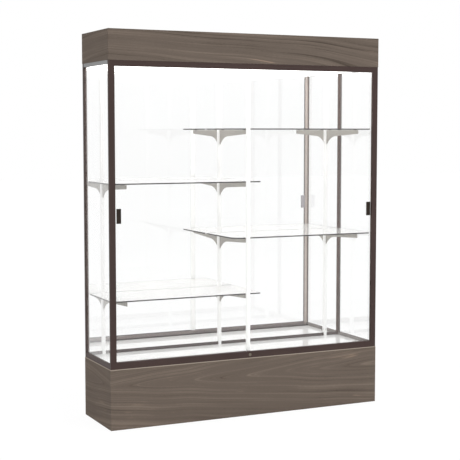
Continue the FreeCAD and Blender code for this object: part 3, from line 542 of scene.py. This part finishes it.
# painted light on the upper track: white, as if washed out by the diffuser above it; the lower track gets a
# darker bronze and the shoes a paler one
shoeBronze = makeMetal("shoeBronze")
trackAndShoeTones = {
    "upper_door_track": makePaint("upperTrackPaintedLight"),
    "lower_door_track": makeMetal("trackBronze"),
    "left_door_shoe": shoeBronze,
    "right_door_shoe": shoeBronze,
}
for node, finish in trackAndShoeTones.items():
    frame["nodes"][node].data.materials[0] = finish
print("finishes made:", len(finishes))


# Dressed pieces are merged copies of the solids, some with another finish on some of their faces.
squarely = 0.7  # a face points one way if its normal has at least this much of it
mergeLook = {"reach": 2e-6, "flat": math.radians(0.5)}


def mergedCopy(node):
    mesh = frame["nodes"][node].data.copy()
    mesh.name = node + "_piece"
    shape = bmesh.new()
    shape.from_mesh(mesh)
    bmesh.ops.remove_doubles(shape, verts=shape.verts[:], dist=mergeLook["reach"])
    bmesh.ops.dissolve_limit(shape, angle_limit=mergeLook["flat"], verts=shape.verts[:], edges=shape.edges[:])
    for face in shape.faces:
        face.smooth = False
    shape.to_mesh(mesh)
    shape.free()
    piece = bpy.data.objects.new(node + "_piece", mesh)
    scene.collection.objects.link(piece)
    return piece


def standFor(piece, node):
    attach(piece, nodeBody[node])
    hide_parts(node)


# Faces towards the inside of the case get painted light and shade: paler backs on the front posts and pulls
# and paler inner faces on the side rails, which show lit in the mirror, and a bronze of their own on the rear
# posts' front and inner faces.
paintedLightFaces = {
    "front_left_post": ("postBackPaintedLight", [(0, 1, 0)]),
    "front_right_post": ("postBackPaintedLight", [(0, 1, 0)]),
    "rear_left_post": ("bronzeInsidePaintedLight", [(0, -1, 0), (1, 0, 0)]),
    "rear_right_post": ("bronzeInsidePaintedLight", [(0, -1, 0), (-1, 0, 0)]),
    "left_bottom_rail": ("railInnerPaintedLight", [(1, 0, 0)]),
    "right_bottom_rail": ("railInnerPaintedLight", [(-1, 0, 0)]),
    "left_door_pull": ("pullBackPaintedLight", [(0, 1, 0)]),
    "right_door_pull": ("pullBackPaintedLight", [(0, 1, 0)]),
}
insideMargin = 0.0025  # metres past the inner face of the side glass, beyond it is the outside


def paintLightInside(piece, finish, headings):
    # painted light and shade on the faces that look into the case
    piece.data.materials.append(paintedLightFinishes[finish])
    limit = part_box("right_side_glass")[0].x + insideMargin
    for face in piece.data.polygons:
        towards = any(face.normal.dot(Vector(heading)) > squarely for heading in headings)
        if towards and abs(face.center.x) < limit:
            face.material_index = 1


headerLook = {"frontWall": 0.006}  # metres


def whitenLedge(piece):
    # the ledge that carries the diffuser is white, and the wall behind the doors gets a painted glow where it
    # would lie in shade
    piece.data.materials.append(finishes["white_paint"])
    piece.data.materials.append(headerPaintedGlow)
    behind = min(vertex.co.y for vertex in piece.data.vertices) + headerLook["frontWall"]
    for face in piece.data.polygons:
        if face.normal.y > squarely:
            face.material_index = 2
        elif abs(face.normal.z) > squarely and face.center.y > behind:
            face.material_index = 1


# Small bevels that catch the light: width for each slot in metres.
edgeBreak = {
    "wood_laminate": 0.0008,
    "bronze": 0.0006,
    "aluminium": 0.0004,
    "grey_paint": 0.0006,
    "pull_black": 0.0008,
    "seal_white": 0.0004,
}
bevelLook = {"segments": 2, "angle": math.radians(40)}
plainNodes = ("lower_door_track", "upper_door_track", "led_channels")


def breakEdges(node, width):
    piece = mergedCopy(node)
    if node == "front_header":
        whitenLedge(piece)
    elif node in paintedLightFaces:
        paintLightInside(piece, *paintedLightFaces[node])
    soften = piece.modifiers.new("edges", "BEVEL")
    soften.width = width
    soften.segments = bevelLook["segments"]
    soften.limit_method = "ANGLE"
    soften.angle_limit = bevelLook["angle"]
    standFor(piece, node)


def paintRearRail():
    # white towards the mirror, bronze on the outside like the posts beside it
    node, skin = "rear_top_rail", 0.001
    piece = mergedCopy(node)
    piece.data.materials.append(finishes["bronze"])
    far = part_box(node)[1]
    for face in piece.data.polygons:
        outer = face.normal.y > squarely and face.center.y > far.y - skin
        upper = face.normal.z > squarely and face.center.z > far.z - skin
        face.material_index = 1 if outer or upper else 0
    standFor(piece, node)


broken = [node for node in frame["nodes"] if nodeSlot[node] in edgeBreak and node not in plainNodes]
for node in broken:
    breakEdges(node, edgeBreak[nodeSlot[node]])
paintRearRail()
print("edges broken on", len(broken), "pieces")


def dressShelf(node):
    # clear faces, and dark polished edges all round but at the back
    piece = mergedCopy(node)
    piece.data.materials.clear()
    piece.data.materials.append(shelfGlass)
    piece.data.materials.append(glassEdge)
    for face in piece.data.polygons:
        clear = abs(face.normal.z) > squarely or face.normal.y > squarely
        face.material_index = 0 if clear else 1
    standFor(piece, node)


def dressDoor(node):
    # upright edges of the door glass are ground pale
    piece = mergedCopy(node)
    piece.data.materials.append(glassSeam)
    for face in piece.data.polygons:
        face.material_index = 1 if abs(face.normal.x) > squarely else 0
    standFor(piece, node)


for node in ("right_upper_shelf", "left_upper_shelf", "right_lower_shelf", "left_lower_shelf"):
    dressShelf(node)
for node in ("left_door_glass", "right_door_glass"):
    dressDoor(node)
print("shelves and doors dressed")


# Geometry Nodes for what stands in rows.
def startTree(name, inputs):
    tree = bpy.data.node_groups.new(name, "GeometryNodeTree")
    tree.interface.new_socket("Geometry", in_out="OUTPUT", socket_type="NodeSocketGeometry")
    for label, kind in inputs.items():
        tree.interface.new_socket(label, in_out="INPUT", socket_type="NodeSocket" + kind)
    return tree, put(tree, "NodeGroupInput").outputs


def endTree(tree, instances, finish):
    real = put(tree, "GeometryNodeRealizeInstances", {"Geometry": instances}).outputs["Geometry"]
    done = put(tree, "GeometryNodeSetMaterial", {"Geometry": real, "Material": finish}).outputs["Geometry"]
    put(tree, "NodeGroupOutput", {"Geometry": done})


def growRow(tree, name, values):
    sockets = {item.name: item.identifier for item in tree.interface.items_tree if item.in_out == "INPUT"}
    holder = bpy.data.objects.new(name + "_maker", bpy.data.meshes.new(name + "_maker"))
    scene.collection.objects.link(holder)
    rule = holder.modifiers.new("row", "NODES")
    rule.node_group = tree
    for label, value in values.items():
        rule[sockets[label]] = value
    evaluated = holder.evaluated_get(bpy.context.evaluated_depsgraph_get())
    mesh = bpy.data.meshes.new_from_object(evaluated)
    bpy.data.objects.remove(holder)
    piece = bpy.data.objects.new(name, mesh)
    scene.collection.objects.link(piece)
    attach(piece, "case")


# Light chips under the two strips, in metres.
chipLook = {"size": (0.005, 0.0028, 0.0007), "pitch": 0.0333, "endGap": 0.02, "stripWidth": 0.012}


def chipTree():
    inputs = {"Count": "Int", "Start": "Vector", "Pitch": "Float", "Size": "Vector"}
    tree, given = startTree("lightChips", inputs)
    step = joinAxes(tree, X=given["Pitch"])
    places = {"Count": given["Count"], "Start Location": given["Start"], "Offset": step}
    line = put(tree, "GeometryNodeMeshLine", places).outputs["Mesh"]
    chip = put(tree, "GeometryNodeMeshCube", {"Size": given["Size"]}).outputs["Mesh"]
    laid = put(tree, "GeometryNodeInstanceOnPoints", {"Points": line, "Instance": chip}).outputs["Instances"]
    endTree(tree, laid, finishes["led"])
    return tree


def lightChips():
    tree = chipTree()
    low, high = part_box("led_strips")
    inset = chipLook["stripWidth"] / 2
    count = int((high.x - low.x - 2 * chipLook["endGap"]) / chipLook["pitch"]) + 1
    x = -(count - 1) * chipLook["pitch"] / 2
    z = low.z - chipLook["size"][2] / 2
    for name, y in (("front_light_chips", low.y + inset), ("rear_light_chips", high.y - inset)):
        growRow(tree, name, {"Count": count, "Start": (x, y, z), "Pitch": chipLook["pitch"],
                                    "Size": chipLook["size"]})


lightChips()
print("light chips laid")


# Cross-head screws in the canopy back, the rear rails and the top board, in metres.
screwLook = {"radius": 0.0036, "height": 0.0011, "slotWidth": 0.0009, "slotDepth": 0.0007, "edgeGap": 0.011}
screwShape = {"sides": 20, "crown": 0.72, "slotReach": 1.05}  # crown and reach in radii
screwRows = {"canopyBack": (4, 2), "rail": (7, 4), "topBoard": (7, 4)}  # count, and gaps left at the ends


def screwTree():
    tree, given = startTree("screwRow", {
        "Count": "Int", "Start": "Vector", "Step": "Vector", "Turn": "Vector", "Radius": "Float",
        "Height": "Float", "Slot Width": "Float", "Slot Depth": "Float"})
    crown = times(tree, given["Radius"], screwShape["crown"])
    head = put(tree, "GeometryNodeMeshCone", {
        "Vertices": screwShape["sides"], "Radius Top": crown, "Radius Bottom": given["Radius"],
        "Depth": given["Height"]}).outputs["Mesh"]
    reach = times(tree, given["Radius"], screwShape["slotReach"])
    depth = times(tree, given["Slot Depth"], 2.0)
    wide = joinAxes(tree, X=reach, Y=given["Slot Width"], Z=depth)
    tall = joinAxes(tree, X=given["Slot Width"], Y=reach, Z=depth)
    top = joinAxes(tree, Z=given["Height"])
    for size in (wide, tall):
        bar = put(tree, "GeometryNodeMeshCube", {"Size": size}).outputs["Mesh"]
        cutter = put(tree, "GeometryNodeTransform", {"Geometry": bar, "Translation": top}).outputs["Geometry"]
        head = put(tree, "GeometryNodeMeshBoolean", {"Mesh 1": head, "Mesh 2": cutter},
                   operation="DIFFERENCE").outputs["Mesh"]
    places = {"Count": given["Count"], "Start Location": given["Start"], "Offset": given["Step"]}
    row = put(tree, "GeometryNodeMeshLine", places).outputs["Mesh"]
    turn = put(tree, "FunctionNodeEulerToRotation", {"Euler": given["Turn"]}).outputs["Rotation"]
    laid = put(tree, "GeometryNodeInstanceOnPoints",
               {"Points": row, "Instance": head, "Rotation": turn}).outputs["Instances"]
    endTree(tree, laid, finishes["lock_metal"])
    return tree


def screwRow(tree, name, first, last, count, turn):
    step = (Vector(last) - Vector(first)) / (count - 1)
    growRow(tree, name, {
        "Count": count, "Start": first, "Step": step, "Turn": turn, "Radius": screwLook["radius"],
        "Height": screwLook["height"], "Slot Width": screwLook["slotWidth"],
        "Slot Depth": screwLook["slotDepth"]})


def driveScrews():
    tree = screwTree()
    gap = screwLook["edgeGap"]
    backward, upward = (-math.pi / 2, 0.0, 0.0), (0.0, 0.0, 0.0)
    count, ends = screwRows["canopyBack"]
    low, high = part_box("canopy_back_panel")
    for side, x in (("left", low.x + gap), ("right", high.x - gap)):
        first, last = (x, high.y, low.z + ends * gap), (x, high.y, high.z - ends * gap)
        screwRow(tree, "canopy_back_" + side + "_screws", first, last, count, backward)
    count, ends = screwRows["rail"]
    for rail in ("rear_bottom_rail", "rear_top_rail"):
        low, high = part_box(rail)
        middle = (low.z + high.z) / 2
        first, last = (low.x + ends * gap, high.y, middle), (high.x - ends * gap, high.y, middle)
        screwRow(tree, rail + "_screws", first, last, count, backward)
    count, ends = screwRows["topBoard"]
    low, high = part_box("canopy_top_board")
    for side, y in (("front", low.y + gap), ("rear", high.y - gap)):
        first, last = (low.x + ends * gap, y, high.z), (high.x - ends * gap, y, high.z)
        screwRow(tree, "top_board_" + side + "_screws", first, last, count, upward)


driveScrews()
print("screws driven")


# Stage: white floor that keeps the shadow, white surroundings, a soft lamp and the camera.
stageLook = {
    "floor": (0.86, 0.86, 0.86),
    "floorWhite": 0.9,
    "floorGlow": 1.04,
    "floorReach": 30.0,
    "floorDrop": 0.0005,
    "ambient": 0.92,
    "brightSide": (0.75, -0.66, 0.0),  # a little more light from the front right than from the left
    "lean": 0.30,
}
plainWhite = (1.0, 1.0, 1.0, 1.0)


def seenDirectly(tree):
    path = put(tree, "ShaderNodeLightPath").outputs
    seen = calc(tree, "MAXIMUM", path["Is Camera Ray"], path["Is Glossy Ray"])
    return calc(tree, "MAXIMUM", seen, path["Is Transmission Ray"])


def makeFloor():
    mesh = bpy.data.meshes.new("floor")
    reach = stageLook["floorReach"]
    corners = [(-reach, -reach, 0), (reach, -reach, 0), (reach, reach, 0), (-reach, reach, 0)]
    mesh.from_pydata(corners, [], [(0, 1, 2, 3)])
    floor = bpy.data.objects.new("floor", mesh)
    scene.collection.objects.link(floor)
    floor.location.z = -stageLook["floorDrop"]
    material = bpy.data.materials.new("paleFloor")
    material.use_nodes = True
    tree = material.node_tree
    tree.nodes.clear()
    matte = put(tree, "ShaderNodeBsdfDiffuse", {"Color": (*stageLook["floor"], 1.0)}).outputs[0]
    glow = {"Color": plainWhite, "Strength": stageLook["floorGlow"]}
    white = put(tree, "ShaderNodeEmission", glow).outputs[0]
    share = times(tree, seenDirectly(tree), stageLook["floorWhite"])
    put(tree, "ShaderNodeOutputMaterial", {"Surface": mixShader(tree, share, matte, white)})
    mesh.materials.append(material)


def makeStudio():
    world = bpy.data.worlds.new("studio")
    scene.world = world
    world.use_nodes = True
    tree = world.node_tree
    tree.nodes.clear()
    heading = put(tree, "ShaderNodeTexCoord").outputs["Generated"]
    facing = put(tree, "ShaderNodeVectorMath", {0: heading, 1: stageLook["brightSide"]},
                 operation="DOT_PRODUCT").outputs["Value"]
    lean = times(tree, facing, stageLook["lean"])
    level = times(tree, add(tree, lean, 1.0), stageLook["ambient"])
    dim = put(tree, "ShaderNodeBackground", {"Color": plainWhite, "Strength": level}).outputs[0]
    white = put(tree, "ShaderNodeBackground", {"Color": plainWhite, "Strength": 1.0}).outputs[0]
    put(tree, "ShaderNodeOutputWorld", {"Surface": mixShader(tree, seenDirectly(tree), dim, white)})


lampLook = {"at": (2.6, -6.0, 4.2), "to": (0.0, 0.0, 1.0), "size": 3.6, "power": 60}


def makeLamp():
    data = bpy.data.lights.new("frontLamp", "AREA")
    data.size = lampLook["size"]
    data.energy = lampLook["power"]
    lamp = bpy.data.objects.new("frontLamp", data)
    lamp.location = lampLook["at"]
    aim = Vector(lampLook["to"]) - Vector(lampLook["at"])
    lamp.rotation_euler = aim.to_track_quat("-Z", "Y").to_euler()
    lamp.visible_camera = False
    lamp.visible_glossy = False
    lamp.visible_transmission = False
    scene.collection.objects.link(lamp)


cameraLook = {"at": (-2.8065, -5.8281, 1.5170), "pitch": -4.702, "yaw": 25.531, "lens": 92.97, "sensor": 36.0}


def makeCamera():
    data = bpy.data.cameras.new("camera")
    data.lens = cameraLook["lens"]
    data.sensor_width = cameraLook["sensor"]
    camera = bpy.data.objects.new("camera", data)
    camera.location = cameraLook["at"]
    camera.rotation_euler = (math.radians(90 + cameraLook["pitch"]), 0.0, math.radians(-cameraLook["yaw"]))
    scene.collection.objects.link(camera)
    scene.camera = camera


# light passes many panes of glass and meets the mirror more than once
bounces = {"max_bounces": 32, "transmission_bounces": 32, "glossy_bounces": 16, "transparent_max_bounces": 32}
makeFloor()
makeStudio()
makeLamp()
makeCamera()
scene.view_settings.view_transform = "Standard"
for name, count in bounces.items():
    setattr(scene.cycles, name, count)
print("stage, lamps and camera set")
